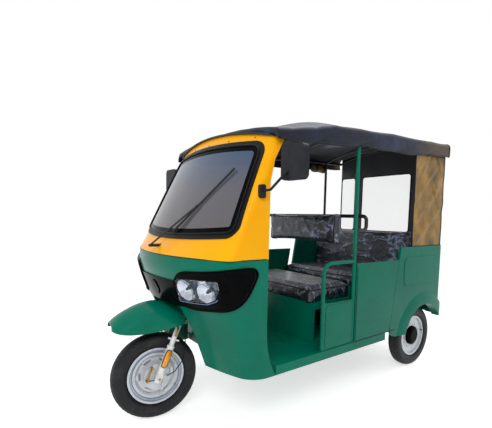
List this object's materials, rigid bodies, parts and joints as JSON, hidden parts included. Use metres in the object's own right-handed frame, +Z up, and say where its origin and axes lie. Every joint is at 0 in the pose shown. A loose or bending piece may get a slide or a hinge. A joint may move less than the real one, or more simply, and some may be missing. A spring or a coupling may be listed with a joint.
{
  "type": "auto rickshaw",
  "caption": "Three-wheeled electric passenger rickshaw with steered front wheel, open cab with windscreen, driver's and rear benches and a canvas roof on bows.",
  "frame": {"origin": "on the ground below the middle of the vehicle's length and width", "axes": "-Y towards the front, +X towards the driver's left, +Z up"},
  "size_m": [1.622, 2.5856, 1.9119],
  "materials": {
    "green_paint": "gloss enamel, green",
    "yellow_paint": "gloss enamel, warm yellow",
    "black_plastic": "moulded black ABS",
    "dark_plastic": "grained dark grey plastic",
    "lamp_glass": "clear lens",
    "screen_glass": "tinted laminated glass",
    "seal_rubber": "extruded black rubber",
    "tyre_rubber": "tyre rubber",
    "silver_alloy": "cast aluminium, lacquered",
    "silver_paint": "silver painted steel",
    "black_steel": "black painted steel",
    "seat_vinyl": "black vinyl under clear film",
    "roof_canvas": "coated canvas, dark blue-black",
    "curtain_canvas": "coated canvas, sun-lit brown",
    "lamp_red": "red lens"
  },
  "bodies": {
    "body": {"cab_lower": "green_paint", "cab_upper": "yellow_paint", "windscreen_seal": "seal_rubber", "windscreen_glass": "screen_glass", "lamp_surround": "black_plastic", "headlamps": "lamp_glass", "nose_disc": "black_plastic", "wheel_well": "green_paint", "dashboard": "black_plastic", "wiper": "black_steel", "chassis_frame": "black_steel", "floor_pan": "green_paint", "entry_frame_left": "green_paint", "entry_frame_right": "green_paint", "side_panel_left": "green_paint", "side_panel_right": "green_paint", "rear_quarter_left": "green_paint", "rear_quarter_right": "green_paint", "tail_panel": "green_paint", "tail_lamps": "lamp_red", "driver_seat_box": "green_paint", "driver_cushion": "seat_vinyl", "driver_backrest": "seat_vinyl", "backrest_frame": "black_steel", "rear_seat_box": "green_paint", "rear_cushion": "seat_vinyl", "rear_backrest": "seat_vinyl", "roof_canopy": "roof_canvas", "cab_cover": "roof_canvas", "roof_frame": "black_steel", "curtain_left": "curtain_canvas", "curtain_rear": "roof_canvas", "curtain_roll_right": "roof_canvas", "mirrors": "dark_plastic", "rear_axle": "black_steel", "motor_block": "black_steel", "leaf_springs": "black_steel", "battery_block": "black_steel"},
    "steering": {"fork": "silver_alloy", "fender_front": "green_paint", "brake_plate": "silver_paint", "brake_cable": "black_plastic", "handlebar": "black_steel"},
    "front_wheel": {"tyre_front": "tyre_rubber", "rim_front": "silver_alloy"},
    "rear_wheel_left": {"tyre_rear_left": "tyre_rubber", "rim_rear_left": "silver_paint"},
    "rear_wheel_right": {"tyre_rear_right": "tyre_rubber", "rim_rear_right": "silver_paint"}
  },
  "joints": [
    {"name": "steering_turn", "type": "hinge", "parent": "body", "child": "steering", "pos_m": [0, -0.995, 0.251], "axis": [0, 0.3907, 0.9205], "range_deg": [-27, 43]},
    {"name": "front_wheel_spin", "type": "hinge", "parent": "steering", "child": "front_wheel", "pos_m": [-0.00576, -1.03963, 0.25084], "axis": [0.9903, -0.1281, 0.0544], "continuous": true},
    {"name": "rear_wheel_left_spin", "type": "hinge", "parent": "body", "child": "rear_wheel_left", "pos_m": [0.476, 0.987, 0.251], "axis": [1, 0, 0], "continuous": true},
    {"name": "rear_wheel_right_spin", "type": "hinge", "parent": "body", "child": "rear_wheel_right", "pos_m": [-0.476, 0.987, 0.251], "axis": [1, 0, 0], "continuous": true}
  ]
}
